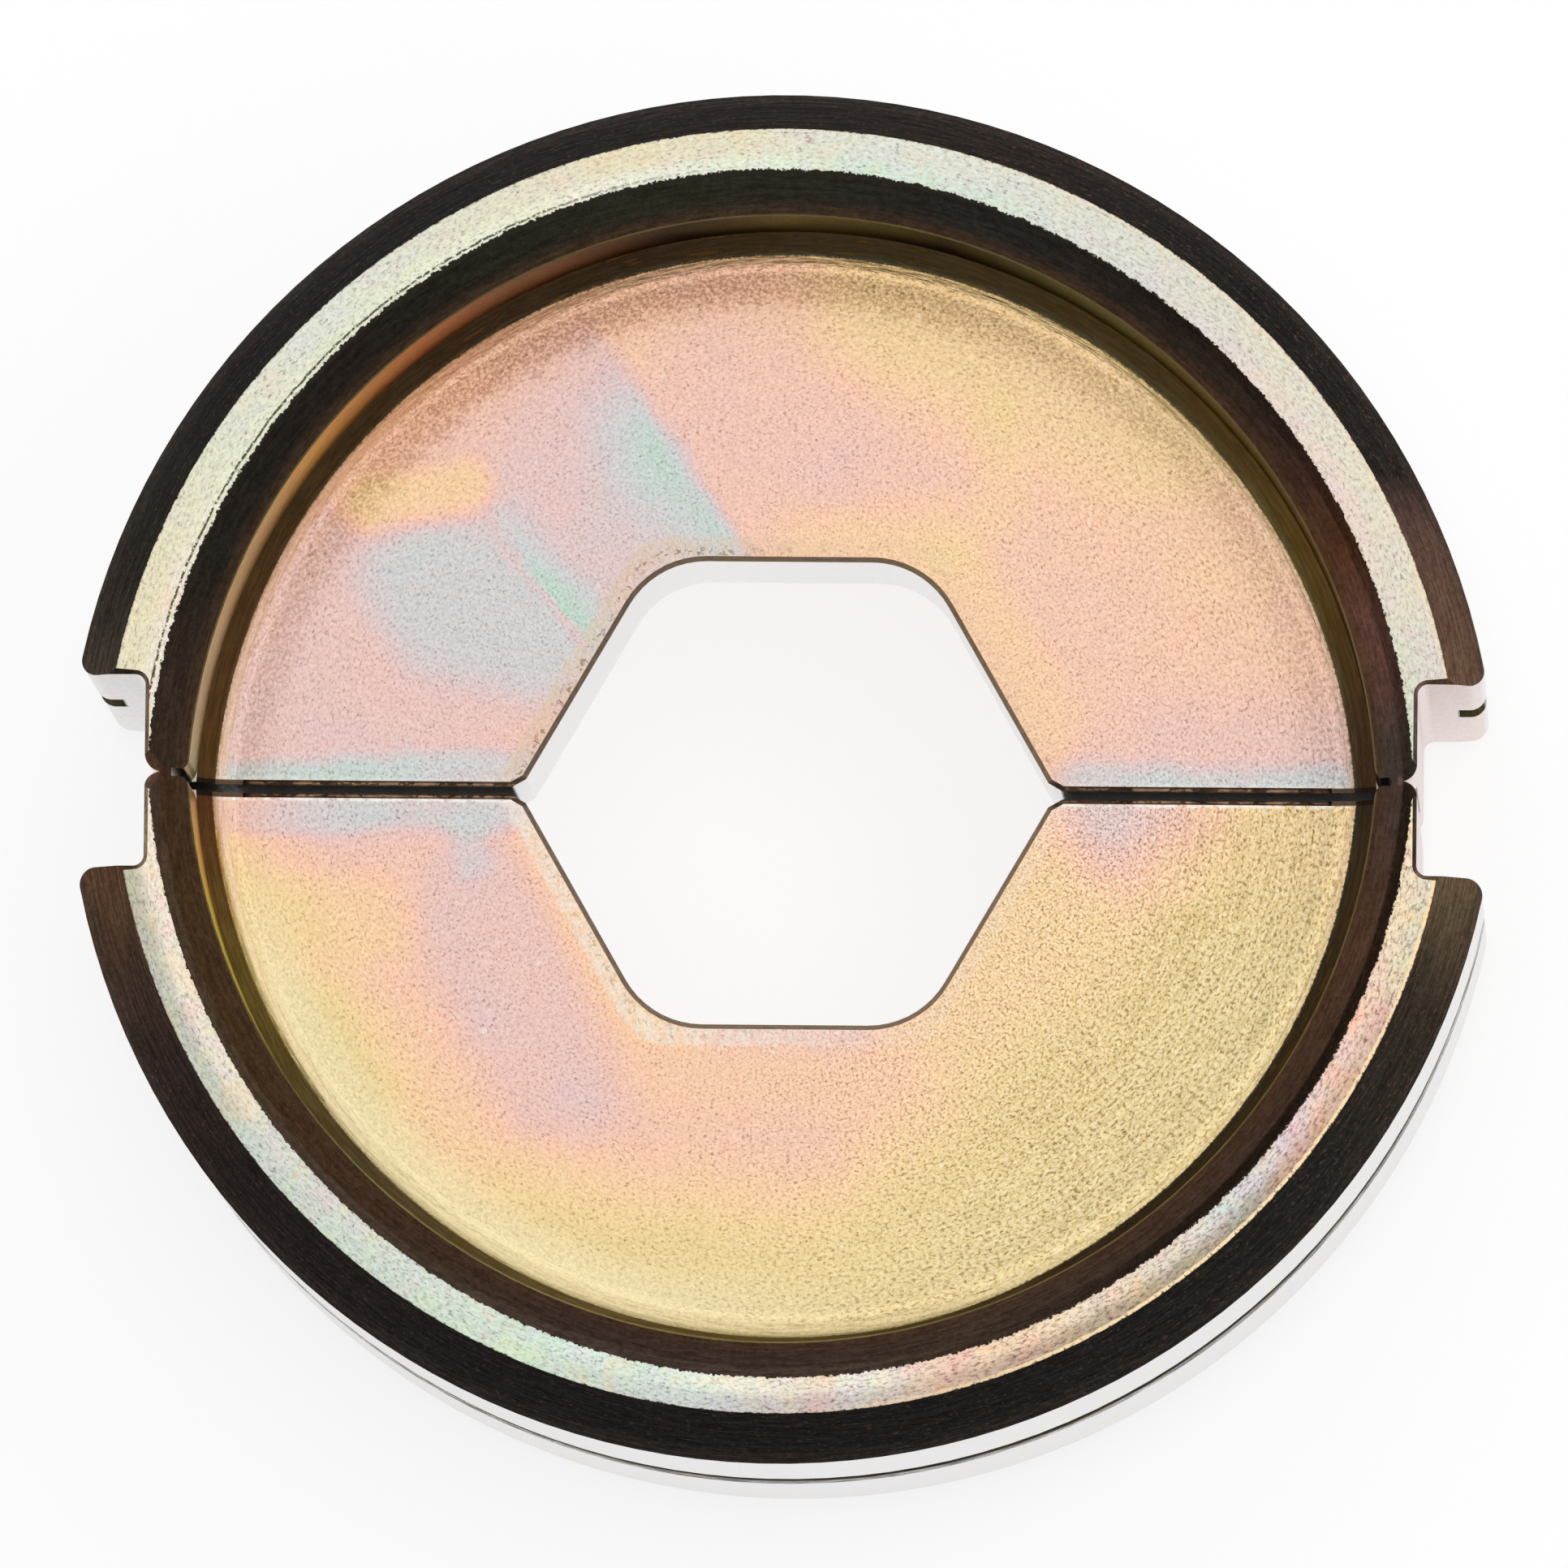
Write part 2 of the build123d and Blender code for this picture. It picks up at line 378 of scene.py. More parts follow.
def bevel_colour(tree, place, half):
    """Turned bevels, painted nearly black as the reflection of a dark room, turning brown towards the
    ends of the half.
    """
    shade_band_black, haze_grey, edge_highlight_grey, line_grey = "26221E", "D0C0B0", "5C5048", "807468"
    grain_grey, glint_brown, rim_border_dark, edge_highlight_yellow = "6C6460", "B07C60", "2A2620", "FFF0A0"
    radius, sweep = place["radius"], place["sweep"]
    inner_skin = ramp(tree, sweep, half["inner_bevel"])
    outer_skin = ramp(tree, sweep, half["outer_bevel"])
    skin = mixed(tree, rise(tree, radius, 24, 24.4), inner_skin, outer_skin)
    # Painted highlight along the inner bevel's edge by the wall
    inner_edge_highlight = product(tree, fall(tree, radius, 22.15, 22.6), 0.6)
    skin = mixed(tree, inner_edge_highlight, skin, half["bevel_edge_highlight"])
    # Painted shade: a darker band on the inner bevel next to the rim's flat
    near_rim = product(tree, rise(tree, radius, 22.95, 23.1), fall(tree, radius, 23.9, 24.0))
    shade_band = product(tree, near_rim, ramp_share(tree, sweep, half["bevel_shade_band"]))
    skin = mixed(tree, shade_band, skin, shade_band_black)
    hazed = product(tree, near_rim, ramp_share(tree, sweep, half["haze"]))
    skin = mixed(tree, hazed, skin, haze_grey)
    # Painted highlight along the outer bevel's outer edge
    outer_edge_highlight = product(tree, rise(tree, radius, 25.9, 26.4), 0.35)
    skin = mixed(tree, outer_edge_highlight, skin, edge_highlight_grey)
    skin = mixed(tree, rise(tree, place["lines"], 0.38, 0.64, 0, 0.4), skin, line_grey, "MULTIPLY")
    skin = mixed(tree, rise(tree, place["coarse"], 0.4, 0.62, 0, 0.3), skin, grain_grey, "MULTIPLY")
    # Painted reddish glints on the bevel's grain, most towards one end
    painted_glints = rise(tree, place["flecks"], 0.58, 0.7)
    painted_glints = product(tree, painted_glints, rise(tree, sweep, 0.5, 0.2, 0.14, 0.3))
    skin = mixed(tree, painted_glints, skin, glint_brown)
    # The inner border of the rim's flat painted dark, like the bevels' painted reflection
    on_flat = product(tree, band(tree, radius, 23.3, 24.0, 0.05), rise(tree, place["tilt"], 0.9, 0.95))
    skin = mixed(tree, on_flat, skin, rim_border_dark)
    # Painted highlight: the lit face caught along the edge between wall and bevel
    edge_highlight = band(tree, radius, pocket_radius - 0.04, pocket_radius + 0.06, 0.015)
    edge_highlight = product(tree, edge_highlight, ramp_share(tree, sweep, half["edge_highlight_share"]))
    return mixed(tree, edge_highlight, skin, edge_highlight_yellow)


def rim_colour(tree, place, half):
    """Ground flat of the rim, pale and spotted, with fine lines, a painted highlight along its outer edge
    and a scratch.
    """
    streak_brown, edge_highlight_cream, scratch_black = "84705F", "FFE2B4", "23211C"
    hue_row = ((0.32, "FFECC8"), (0.44, "F0FFEA"), (0.56, "E8F4FF"), (0.68, "FBE6F4"))
    radius, sweep = place["radius"], place["sweep"]
    bow = calc(tree, "ADD", sweep, calc(tree, "MULTIPLY_ADD", place["clouds"], 0.16, -0.08))
    uneven = calc(tree, "MULTIPLY_ADD", place["wobble"], 0.5, radius)
    outer_part = rise(tree, uneven, 24.0, 24.7)
    inner_skin = ramp(tree, bow, half["rim_inner"])
    skin = mixed(tree, outer_part, inner_skin, ramp(tree, bow, half["rim_outer_part"]))
    skin = mixed(tree, half["hues"], skin, ramp(tree, place["tints"], hue_row), "MULTIPLY")
    streaks = rise(tree, place["streaks"], 0.48, 0.66)
    streaks = product(tree, streaks, ramp_share(tree, sweep, half["streaks"]))
    skin = mixed(tree, streaks, skin, streak_brown, "MULTIPLY")
    skin = peppered(tree, place, skin, 0.12, half["rim_flecks"], 0.35)
    rimward = calc(tree, "MULTIPLY_ADD", place["wobble"], 0.14, radius)
    # Painted highlight along the rim flat's outer edge
    rim_edge_highlight = band(tree, rimward, half["rim_outer"] - 0.07, half["rim_outer"] + 0.1, 0.03)
    rim_edge_highlight = product(tree, rim_edge_highlight, half["rim_edge_highlight"])
    rim_edge_highlight = product(tree, rim_edge_highlight, fall(tree, sweep, 0.3, 0.55), rise(tree, place["fine"], 0.34, 0.46))
    skin = mixed(tree, rim_edge_highlight, skin, edge_highlight_cream)
    scratch = band(tree, rimward, 23.73, 23.82, 0.02)
    where = product(tree, rise(tree, sweep, 0.5, 0.66), rise(tree, place["fine"], 0.35, 0.5))
    return mixed(tree, product(tree, scratch, where, half["scratch"]), skin, scratch_black)


def end_colour(tree, place, half):
    """Seat, notch faces and nest: pale zinc with faint turning marks, nest walls painted white as the
    reflection of the white table, and painted shade inside the groove.
    """
    zinc_row = ((0.32, "F7F0E8"), (0.44, "F7F2EF"), (0.56, "F3F4F5"), (0.68, "F5F1F4"))
    line_grey, fleck_grey, rosy_white, nest_reflection_white = "B5AEA2", "6A6058", "FFEEEA", "FFFFFF"
    radius = place["radius"]
    skin = ramp(tree, place["tints"], zinc_row)
    off_seat = fall(tree, radius, seat_radius - 0.3, seat_radius - 0.1)
    turned = product(tree, rise(tree, place["lines"], 0.4, 0.75), off_seat, 0.25)
    skin = mixed(tree, turned, skin, line_grey, "MULTIPLY")
    flecked = product(tree, rise(tree, place["flecks"], 0.58, 0.72), off_seat, 0.35)
    skin = mixed(tree, flecked, skin, fleck_grey)
    rosy = product(tree, rise(tree, place["x"], 5, 15), off_seat)
    rosy = product(tree, rosy, rise(tree, place["wobble"], 0.35, 0.6, 0.5, 1.0))
    skin = mixed(tree, rosy, skin, rosy_white, "MULTIPLY")
    # Nest walls painted pure white, as the reflection of the white table
    skin = mixed(tree, fall(tree, radius, 13, 14), skin, nest_reflection_white)
    # Painted shade inside the groove
    floor_start = rise(tree, radius, groove_radius - 0.1, groove_radius - 0.02)
    between_walls = fall(tree, place["level"], groove_half_width + 0.005, groove_half_width + 0.015)
    inside = fall(tree, radius, seat_radius - 0.14, seat_radius - 0.06)
    return mixed(tree, product(tree, floor_start, between_walls, inside), skin, half["groove"])


def chromated_steel(name, side, half):
    """Finish of one half, put together from its turned, ground and blasted surfaces."""
    chamfer_shade_dark, chamfer_shade_brown, edge_pale, glint_white = "7C6A5C", "A8907C", "E0C8B0", "FFE6D2"
    parting_shade_brown, gap_shade_black, plain_white = "5A483A", "30241C", "FFFFFF"
    material = bpy.data.materials.new(name)
    material.use_nodes = True
    tree = material.node_tree
    tree.nodes.clear()
    place = die_places(tree, side)
    level, tilt, radius, gap = place["level"], place["tilt"], place["radius"], place["gap"]
    sweep, wobble, fine = place["sweep"], place["wobble"], place["fine"]

    # Which surface of the half a point lies on
    off_web = rise(tree, level, face_height - 0.01, face_height)
    in_pocket = fall(tree, radius, foot_radius, foot_radius + 0.1)
    past_face = rise(tree, level, face_height - 0.1, face_height - 0.08)
    on_face = product(tree, rise(tree, tilt, 0.86, 0.94), in_pocket, past_face)
    past_web = rise(tree, radius, foot_radius - 0.05, foot_radius)
    before_wall = fall(tree, radius, pocket_radius - 0.01, pocket_radius + 0.03)
    foot_top = face_height + foot_height
    below_wall = fall(tree, level, foot_top + 0.02, foot_top + 0.04)
    on_foot = product(tree, past_web, before_wall, off_web, below_wall)
    wall_zone = band(tree, radius, pocket_radius - 0.1, pocket_radius + 0.5, 0.03)
    upright = fall(tree, tilt, 0.3, 0.4)
    on_wall = product(tree, wall_zone, upright, rise(tree, level, foot_top - 0.04, foot_top))
    ragged = calc(tree, "MULTIPLY_ADD", wobble, 0.2, calc(tree, "MULTIPLY_ADD", fine, 0.3, -0.25))
    rim_inside = calc(tree, "ADD", radius, ragged)
    border = calc(tree, "ADD", ramp_share(tree, sweep, half["rim_start"]), rim_inner_radius)
    upper_part = rise(tree, level, rim_height - 0.05, rim_height + 0.05)
    kept_rim = rise(tree, calc(tree, "SUBTRACT", rim_inside, border), -0.02, 0.02)
    rim_outside = calc(tree, "SUBTRACT", radius, calc(tree, "MULTIPLY", ragged, 0.7))
    kept_out = fall(tree, rim_outside, half["rim_outer"] - 0.05, half["rim_outer"] + 0.03)
    on_rim = product(tree, upper_part, kept_rim, kept_out, rise(tree, tilt, 0.8, 0.95))
    sloped = product(tree, rise(tree, tilt, 0.25, 0.35), upper_part)
    low_edges = product(tree, band(tree, tilt, 0.3, 0.9, 0.04), fall(tree, radius, 20.5, 20.6))
    low_edges = product(tree, low_edges, fall(tree, level, face_height + 0.05, face_height + 0.1))
    parting_foot = product(tree, fall(tree, gap, 0.3, 0.36), rise(tree, radius, 20.1, 20.3))
    parting_foot = product(tree, parting_foot, fall(tree, level, 5.5, 5.6))
    in_gap = product(tree, fall(tree, gap, 0.17, 0.19), fall(tree, radius, 22.3, 22.6), upright)

    # Its colour
    face = face_colour(tree, place, half)
    skin = end_colour(tree, place, half)
    skin = mixed(tree, sloped, skin, bevel_colour(tree, place, half))
    skin = mixed(tree, on_wall, skin, wall_colour(tree, place, half))
    skin = mixed(tree, on_rim, skin, rim_colour(tree, place, half))
    skin = mixed(tree, on_face, skin, face)
    skin = mixed(tree, on_foot, skin, foot_colour(tree, place, face, half))
    # Chamfers by the nest and the parting: painted dark reflection, paler away from the parting, with
    # painted glints
    edge = mixed(tree, rise(tree, wobble, 0.42, 0.62), chamfer_shade_dark, chamfer_shade_brown)
    edge = mixed(tree, rise(tree, gap, 0.4, 0.6), edge, edge_pale)
    glint = product(tree, band(tree, gap, 0.2, 0.26, 0.02), rise(tree, wobble, 0.44, 0.54))
    edge = mixed(tree, glint, edge, glint_white)
    skin = mixed(tree, low_edges, skin, edge)
    # Painted shade on the flat step by the foot at the parting
    skin = mixed(tree, parting_foot, skin, parting_shade_brown)
    # Painted shade on the walls inside the gap between the halves
    skin = mixed(tree, in_gap, skin, gap_shade_black)

    # Its gloss: blasted steel, with a smoother turned foot and a wall whose reflection tint carries
    # painted shade along the half
    shader = tree.nodes.new("ShaderNodeBsdfPrincipled")
    shader.inputs["Metallic"].default_value = 1
    below_step = fall(tree, level, face_height + 1.5, face_height + 1.6)
    turned_foot = product(tree, band(tree, radius, 20.5, 21.35, 0.25), below_step)
    gloss = product(tree, turned_foot, ramp_share(tree, sweep, half["foot_gloss"]))
    blasted = rise(tree, fine, 0.3, 0.7, 0.3, 0.42)
    smoother = calc(tree, "MULTIPLY_ADD", gloss, -0.55, 1)
    feed(tree, shader.inputs["Roughness"], product(tree, blasted, smoother))
    feed(tree, shader.inputs["Base Color"], skin)
    # Painted shade in the wall's reflection: its tint dims it where the wall reads dark
    wall_reflection_shade = ramp(tree, sweep, half["wall_reflection_shade"])
    feed(tree, shader.inputs["Specular Tint"], mixed(tree, on_wall, plain_white, wall_reflection_shade))

    # Its relief: blasting on the face, turned lines elsewhere, and an even light up the foot's round
    bump = tree.nodes.new("ShaderNodeBump")
    feed(tree, bump.inputs["Strength"], 0.5)
    feed(tree, bump.inputs["Distance"], 0.00003)
    surface = tree.nodes.new("ShaderNodeMix")
    feed(tree, surface.inputs[0], on_face)
    feed(tree, surface.inputs[2], place["lines"])
    feed(tree, surface.inputs[3], fine)
    feed(tree, bump.inputs["Height"], surface.outputs[0])
    lit_radius = calc(tree, "MINIMUM", radius, foot_start(tree, place, half))
    climb = calc(tree, "MAXIMUM", calc(tree, "SUBTRACT", lit_radius, foot_radius), 0)
    steepness = calc(tree, "MULTIPLY", calc(tree, "MINIMUM", climb, 0.7 * foot_round), 1 / foot_round)
    levelled = calc(tree, "LOGARITHM", calc(tree, "SUBTRACT", 1, product(tree, steepness, steepness)), e)
    levelled = product(tree, levelled, off_web, below_step, fall(tree, radius, 22.2, 22.5))
    flatter = tree.nodes.new("ShaderNodeBump")
    feed(tree, flatter.inputs["Strength"], 1.0)
    feed(tree, flatter.inputs["Distance"], foot_round / 2 / mm)
    feed(tree, flatter.inputs["Height"], levelled)
    tree.links.new(flatter.outputs[0], bump.inputs["Normal"])
    feed(tree, shader.inputs["Normal"], bump.outputs[0])
    output = tree.nodes.new("ShaderNodeOutputMaterial")
    tree.links.new(shader.outputs[0], output.inputs["Surface"])
    return material


upper_half = {
    "film_base": 0.5,
    "film_fall": (13.3, 19.5, 0.05),
    "patches": (
        (patch, (-17.5, 3.5), (-10.0, 8.0), 3.0, 8.0, 0.15),
        (patch, (-12.8, 7.2), (-9.6, 6.0), 1.6, 4.0, 0.15),
        (smear, (-7.9, 17.1), (-1.2, 8.0), 0.9, 6.0, 0.2),
        (smear, (-6.6, 14.8), (-1.4, 8.0), 0.8, 3.0, 0.15),
        (smear, (-11.0, 10.4), (-7.2, 5.2), 2.0, 0.25, 0.12),
        (smear, (-10.4, 9.6), (-7.8, 5.6), 0.3, 0.5, -0.12),
        (patch, (-15.4, 10.6), (-12.2, 11.1), 0.4, 1.7, -0.27),
        (patch, (-15.6, 12.6), (-9.5, 17.2), 0.6, 2.0, -0.03),
        (patch, (-3.0, 14.5), (0.5, 13.5), 1.5, 4.0, 0.06),
        (patch, (4.5, 18.5), (13.5, 14.5), 1.5, 5.5, -0.18),
        (patch, (8.0, 14.0), (7.8, 10.5), 0.3, 1.6, -0.1),
        (patch, (1.0, 9.0), (5.5, 9.5), 0.2, 2.6, -0.12),
        (patch, (6.0, 8.5), (9.6, 2.4), 0.3, 2.0, -0.1),
        (patch, (16.0, 8.5), (17.5, 10.5), 0.5, 3.0, -0.05),
        (patch, (-20.5, 0.2), (-9.5, 0.2), 0.6, 1.5, 0.22),
        (patch, (11.0, 0.2), (21.0, 0.2), 0.4, 1.6, 0.24),
        (patch, (15.0, 1.2), (21.0, 1.2), 0.5, 4.0, 0.12),
    ),
    "grain": (0.14, 0.24),
    "flecks": 0.45,
    "band_start": 18.9,
    "band_share": (
        (0.0, 0.1), (0.15, 0.12), (0.3, 0.25), (0.45, 0.5), (0.7, 0.6), (0.85, 0.4), (1.0, 0.3),
    ),
    "band": (
        (0.0, "B8A898"), (0.3, "BCA078"), (0.5, "C09A70"), (0.66, "C09C84"), (0.8, "C4A890"),
        (0.92, "CCB4A8"),
    ),
    "rings": 0.0,
    "highlight_band_share": 0.0,
    "worn": (0.12, 0.9, 0.55),
    "worn_colour": "DCC4A8",
    "dents": 0.6,
    "parting_highlight": 0.25,
    "foot_start": (-20, 6, 21.33, 21.16),
    "foot_gloss": (
        (0.0, 0.0), (0.15, 0.2), (0.25, 0.15), (0.33, 0.55), (0.45, 0.6), (0.55, 0.4), (0.75, 0.15),
        (0.88, 0.4), (1.0, 0.5),
    ),
    # Painted highlight band on the foot's round, along the half
    "foot_lit": (
        (0.05, "D8B8A4"), (0.25, "DCC080"), (0.5, "CCA870"), (0.7, "CC9C78"), (0.85, "DCB4A0"),
        (1.0, "F0D0B8"),
    ),
    # Dark foot colours along the half, painted shade
    "foot": (
        (0.05, "92785F"), (0.15, "BCA565"), (0.28, "988860"), (0.45, "867A5C"), (0.6, "7E6A50"),
        (0.75, "887252"), (1.0, "BC905B"),
    ),
    # Wall colours along the half: painted reflection of the lit face and painted shade
    "wall": (
        (0.03, "32201A"), (0.1, "442F1C"), (0.2, "5E4C28"), (0.28, "625428"), (0.42, "281F14"),
        (0.5, "5A4828"), (0.56, "261C16"), (0.63, "985F36"), (0.72, "E89858"), (0.8, "FFD878"),
        (0.9, "E6E2AC"), (1.0, "DEE4BA"),
    ),
    "wall_reflection_shade": (
        (0.05, "9C8878"), (0.13, "BEB492"), (0.22, "D6D2B4"), (0.33, "DDE6CA"), (0.42, "B2ADAA"),
        (0.5, "E6F0CA"), (0.56, "BCBCBC"), (0.65, "E8ECE6"), (0.72, "F0F4E4"), (0.8, "FFFCF0"),
        (1.0, "FFFAF0"),
    ),
    # Bevel colours along the half, painted dark as the reflection of a dark room
    "inner_bevel": (
        (0.03, "A09690"), (0.08, "E0A8A0"), (0.13, "C48A6C"), (0.2, "8C7164"), (0.28, "6E645F"),
        (0.4, "686A68"), (0.55, "747462"), (0.75, "645C54"), (0.88, "68625A"), (0.95, "8C7664"),
        (1.0, "98806C"),
    ),
    "outer_bevel": (
        (0.08, "95735D"), (0.13, "7C5E54"), (0.16, "3A342F"), (0.25, "2E2B29"), (0.4, "39302A"),
        (0.6, "2E2A28"), (0.8, "272524"), (0.9, "363028"), (0.95, "564A40"),
    ),
    "bevel_edge_highlight": "B08C70",
    "bevel_shade_band": ((0.0, 0.45), (0.2, 0.45), (0.35, 0.15), (0.5, 0.0), (1.0, 0.0)),
    "haze": ((0.0, 0.0), (0.5, 0.0), (1.0, 0.0)),
    "edge_highlight_share": ((0.0, 0.45), (0.5, 0.45), (1.0, 0.45)),
    "rim_outer": 25.1,
    "rim_start": ((0.0, 0.03), (0.3, 0.05), (0.5, 0.2), (0.75, 0.14), (1.0, 0.06)),
    "rim_inner": (
        (0.05, "DADFCA"), (0.16, "EEDACE"), (0.3, "E2DCD6"), (0.45, "DAE8D8"), (0.6, "F4F2DE"),
        (0.75, "E6EACE"), (0.9, "F4E8D6"),
    ),
    "rim_outer_part": (
        (0.05, "E0D8D4"), (0.15, "E8E0CC"), (0.3, "E2DED0"), (0.45, "E2E4DA"), (0.57, "ECE0C2"),
        (0.75, "E2E4D8"), (0.9, "ECE2C2"),
    ),
    "hues": 0.2,
    "rim_flecks": 0.55,
    "streaks": ((0.0, 0.25), (0.5, 0.2), (1.0, 0.2)),
    "rim_edge_highlight": 0.3,
    "scratch": 0.9,
    "groove": "57503A",
}
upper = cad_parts["upper_die_half"]
upper.material_slots[0].material = chromated_steel("upper_chromated_steel", 1, upper_half)

# Lower die half
# The same piece, turned half a turn, with slightly wider outer bevels. Its film has come out more
# yellow, with a pink band that runs down from the parting face on the left.

lower_half = {
    "film_base": 0.42,
    "film_fall": (13.0, 20.2, 0.42),
    "patches": (
        (patch, (-12.0, -3.0), (-8.5, -11.0), 1.0, 3.8, 0.18),
        (patch, (-9.6, -1.5), (-5.5, -8.7), 0.3, 1.3, -0.06),
        (patch, (-19.0, -4.0), (-12.0, -12.0), 1.5, 5.0, 0.1),
        (patch, (-17.2, -4.2), (-15.0, -4.6), 0.6, 2.6, -0.1),
        (patch, (-10.3, -11.2), (-9.6, -12.4), 0.5, 3.0, -0.1),
        (patch, (-11.0, -13.5), (1.0, -14.5), 1.0, 3.8, 0.09),
        (patch, (-17.8, -8.5), (-15.8, -11.2), 0.5, 2.2, -0.14),
        (patch, (-20.5, -0.2), (-10.0, -0.2), 0.8, 1.9, 0.28),
        (patch, (-11.8, -2.2), (-11.5, -2.8), 0.2, 1.3, 0.12),
        (patch, (-20.0, -1.5), (-16.0, -1.5), 0.8, 2.6, 0.12),
        (patch, (14.0, -1.0), (21.0, -1.0), 0.8, 5.5, 0.2),
        (patch, (12.0, -0.4), (15.5, -0.6), 0.4, 2.4, 0.12),
        (patch, (9.6, -5.0), (8.0, -9.0), 1.2, 4.5, -0.13),
        (patch, (-2.2, -8.8), (2.2, -8.8), 0.2, 1.8, 0.14),
    ),
    "grain": (0.16, 0.5),
    "flecks": 0.5,
    "band_start": 20.3,
    "band_share": ((0.0, 0.2), (0.5, 0.15), (1.0, 0.1)),
    "band": ((0.0, "C8B890"), (0.5, "D8C8A0"), (1.0, "E8DCC0")),
    "rings": 0.26,
    "highlight_band_share": 0.7,
    "worn": (0.08, 0.8, 0.6),
    "worn_colour": "EFE9DC",
    "dents": 0.3,
    "parting_highlight": 0.8,
    "foot_start": (4, 14, 21.44, 21.22),
    "foot_gloss": (
        (0.0, 0.35), (0.15, 0.5), (0.3, 0.5), (0.45, 0.35), (0.6, 0.2), (0.8, 0.15), (1.0, 0.35),
    ),
    # Painted highlight band on the foot's round, along the half
    "foot_lit": (
        (0.05, "E6C49C"), (0.25, "E4D098"), (0.5, "E2CA9C"), (0.7, "F4E4B8"), (0.9, "FCDCB4"),
        (1.0, "ECC8C0"),
    ),
    # Dark foot colours along the half, painted shade
    "foot": (
        (0.05, "82755E"), (0.3, "746650"), (0.5, "BCA86C"), (0.6, "C4B07C"), (0.75, "A29870"),
        (0.88, "BEAA62"), (1.0, "BE7E56"),
    ),
    # Wall colours along the half: painted reflection of the lit face and painted shade
    "wall": (
        (0.03, "4A3828"), (0.15, "5A4834"), (0.3, "6C583E"), (0.45, "7C6844"), (0.55, "BCA45E"),
        (0.64, "E0BC74"), (0.72, "C0A85C"), (0.8, "8E8038"), (0.88, "C0B844"), (0.95, "EEC45E"),
        (1.0, "FEC47E"),
    ),
    "wall_reflection_shade": (
        (0.05, "A09890"), (0.7, "CCCCA4"), (0.8, "DADAB0"), (0.88, "FFFFCC"), (0.95, "FFFFDA"),
        (1.0, "FFFFFF"),
    ),
    # Bevel colours along the half, painted dark as the reflection of a dark room
    "inner_bevel": (
        (0.03, "A89288"), (0.1, "B8927A"), (0.17, "9E8470"), (0.35, "9A8472"), (0.6, "947A6E"),
        (0.8, "A4825E"), (0.92, "A4845A"), (1.0, "A07C6A"),
    ),
    "outer_bevel": (
        (0.06, "957E60"), (0.12, "54493E"), (0.2, "3E3C38"), (0.4, "363431"), (0.6, "32302F"),
        (0.78, "362E2A"), (0.86, "443630"), (0.93, "76573F"),
    ),
    "bevel_edge_highlight": "A8846A",
    "bevel_shade_band": ((0.0, 0.7), (0.25, 0.75), (0.36, 0.3), (0.45, 0.0), (1.0, 0.0)),
    "haze": ((0.0, 0.0), (0.35, 0.05), (0.5, 0.3), (1.0, 0.25)),
    "edge_highlight_share": ((0.0, 0.4), (0.4, 0.6), (0.5, 1.0), (0.7, 1.0), (0.8, 0.5), (1.0, 0.35)),
    "rim_outer": 24.75,
    "rim_start": ((0.0, 0.0), (0.2, 0.06), (0.5, 0.02), (0.8, 0.0), (1.0, 0.0)),
    "rim_inner": (
        (0.05, "FAE6C4"), (0.14, "FCD2C0"), (0.2, "F0D4D4"), (0.26, "DEE4E4"), (0.34, "FFE0C0"),
        (0.43, "FCD6C0"), (0.5, "F6F6EC"), (0.62, "DCEADE"), (0.75, "E0DED4"), (0.9, "FCEAD8"),
    ),
    "rim_outer_part": (
        (0.05, "EAE6CA"), (0.14, "E8C4B0"), (0.2, "CEA994"), (0.26, "B0AA9A"), (0.33, "C0A88C"),
        (0.43, "DAB6A4"), (0.52, "D2D2D2"), (0.64, "DAE8D2"), (0.8, "D2D6CE"), (0.92, "C6C0AC"),
    ),
    "hues": 0.4,
    "rim_flecks": 0.6,
    "streaks": ((0.0, 0.6), (0.4, 0.6), (0.55, 0.3), (1.0, 0.3)),
    "rim_edge_highlight": 1.0,
    "scratch": 0.0,
    "groove": "57503A",
}
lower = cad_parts["lower_die_half"]
lower.material_slots[0].material = chromated_steel("lower_chromated_steel", -1, lower_half)

# Table
# A plain white table top, on which the closed pair lies flat.

table_size = 6.0
table_glow = 0.8
chalk_white = (0.8, 0.8, 0.8, 1)
faint_grey = (0.35, 0.35, 0.35, 1)
bpy.ops.mesh.primitive_plane_add(size=table_size)
table = bpy.context.object
table.name = "table"
table_white = bpy.data.materials.new("table_white")
table_white.use_nodes = True
tree = table_white.node_tree
tree.nodes.clear()
path = tree.nodes.new("ShaderNodeLightPath")
seen = calc(tree, "MAXIMUM", path.outputs["Is Camera Ray"], path.outputs["Is Glossy Ray"])
seen = calc(tree, "MAXIMUM", seen, path.outputs["Is Transmission Ray"])
chalk = tree.nodes.new("ShaderNodeBsdfDiffuse")
feed(tree, chalk.inputs["Color"], chalk_white)
glow = tree.nodes.new("ShaderNodeEmission")
feed(tree, glow.inputs["Strength"], table_glow)
faint = tree.nodes.new("ShaderNodeBsdfDiffuse")
feed(tree, faint.inputs["Color"], faint_grey)
lit = tree.nodes.new("ShaderNodeAddShader")
tree.links.new(glow.outputs[0], lit.inputs[0])
tree.links.new(faint.outputs[0], lit.inputs[1])
pick = tree.nodes.new("ShaderNodeMixShader")
output = tree.nodes.new("ShaderNodeOutputMaterial")
tree.links.new(seen, pick.inputs["Fac"])
tree.links.new(chalk.outputs[0], pick.inputs[1])
tree.links.new(lit.outputs[0], pick.inputs[2])
tree.links.new(pick.outputs[0], output.inputs["Surface"])
table.data.materials.append(table_white)

# Studio
# One wide softbox hangs over the table, leaning in from the upper right, in a room that is pale
# overhead and darker at the sides.

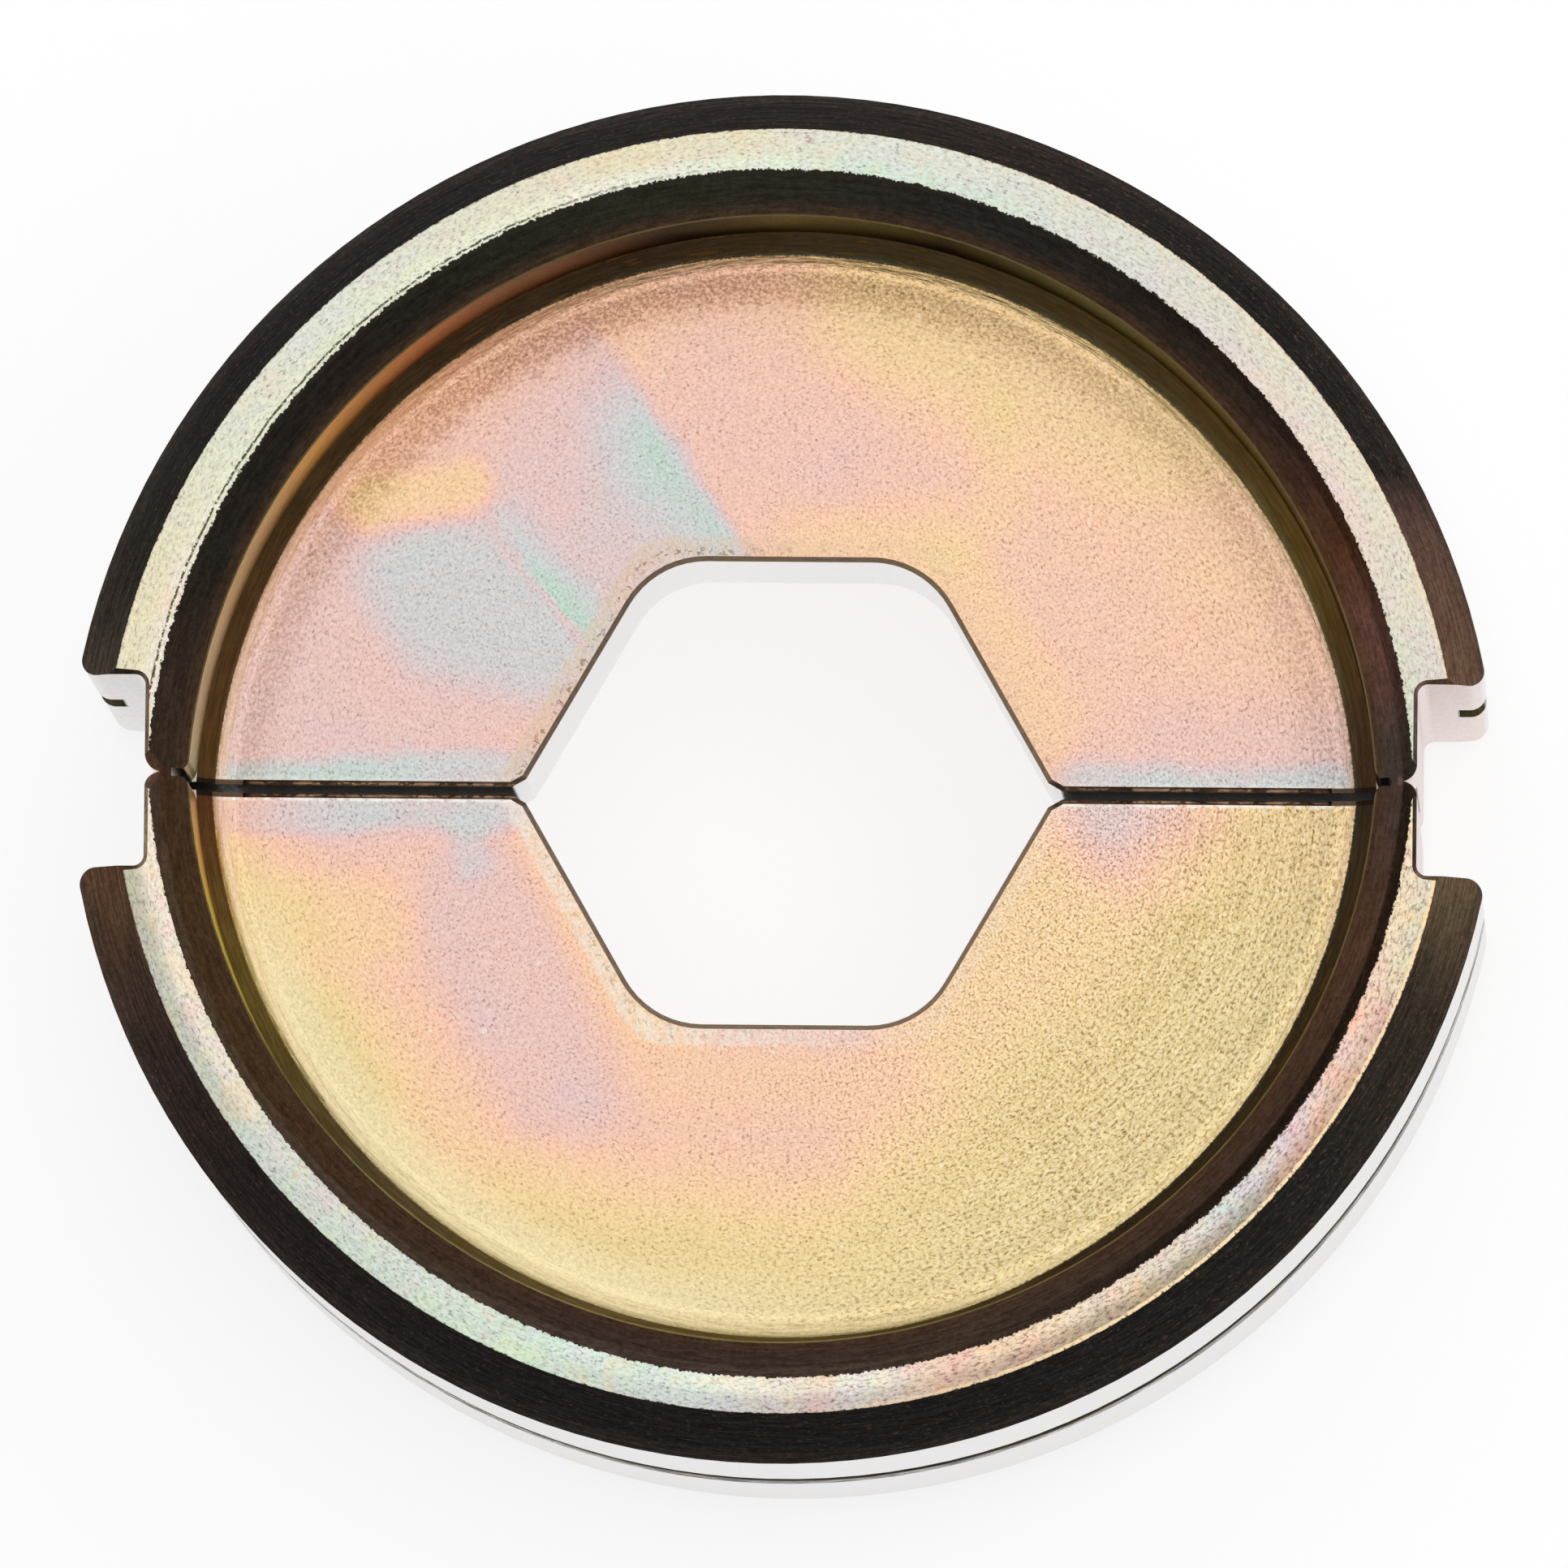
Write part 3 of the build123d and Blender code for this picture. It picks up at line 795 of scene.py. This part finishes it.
softbox_size = 2.6
softbox_distance = 1.8
softbox_lean = radians(16)
softbox_turn = radians(42)
softbox_radiance = 0.84
softbox_data = bpy.data.lights.new("softbox", "AREA")
softbox_data.shape = "DISK"
softbox_data.size = softbox_size
softbox_data.energy = softbox_radiance * pi * pi * softbox_size**2 / 4
softbox = bpy.data.objects.new("softbox", softbox_data)
aside = sin(softbox_lean)
towards = Vector((aside * cos(softbox_turn), aside * sin(softbox_turn), cos(softbox_lean)))
softbox.location = softbox_distance * towards
softbox.rotation_euler = towards.to_track_quat("Z", "Y").to_euler()
bpy.context.scene.collection.objects.link(softbox)

studio = bpy.data.worlds.new("studio")
bpy.context.scene.world = studio
studio.use_nodes = True
tree = studio.node_tree
tree.nodes.clear()
direction = tree.nodes.new("ShaderNodeTexCoord")
parts = tree.nodes.new("ShaderNodeSeparateXYZ")
feed(tree, parts.inputs[0], direction.outputs["Generated"])
room_greys = ((0.0, "5A5A5A"), (0.3, "6E6E6E"), (0.75, "9E9E9E"))
room = ramp(tree, parts.outputs["Z"], room_greys)
path = tree.nodes.new("ShaderNodeLightPath")
shown = mixed(tree, path.outputs["Is Camera Ray"], room, "FFFFFF")
background = tree.nodes.new("ShaderNodeBackground")
feed(tree, background.inputs["Color"], shown)
output = tree.nodes.new("ShaderNodeOutputWorld")
tree.links.new(background.outputs[0], output.inputs["Surface"])

# Camera
# A long lens looks almost straight down on the pair, from a little below and to the right.

tilt_right = radians(1.85)
tilt_down = radians(4.83)
roll = radians(0.614)
distance = 1.069
photo_width = 1932
pixels_per_mm = 33.35
aim = Vector((0.000144, -0.000346, cad_box[1].z))
back = Vector((tan(tilt_right), -tan(tilt_down), 1)).normalized()
level_right = Vector((0, 1, 0)).cross(back).normalized()
level_up = back.cross(level_right)
camera_right = cos(roll) * level_right + sin(roll) * level_up
camera_up = cos(roll) * level_up - sin(roll) * level_right
camera_data = bpy.data.cameras.new("camera")
camera_data.lens = camera_data.sensor_width * pixels_per_mm * mm * distance / photo_width
camera_data.clip_end = 10
camera = bpy.data.objects.new("camera", camera_data)
turned = Matrix((camera_right, camera_up, back)).transposed().to_4x4()
camera.matrix_world = Matrix.Translation(aim + distance * back) @ turned
bpy.context.scene.collection.objects.link(camera)
bpy.context.scene.camera = camera
bpy.context.scene.view_settings.view_transform = "Standard"
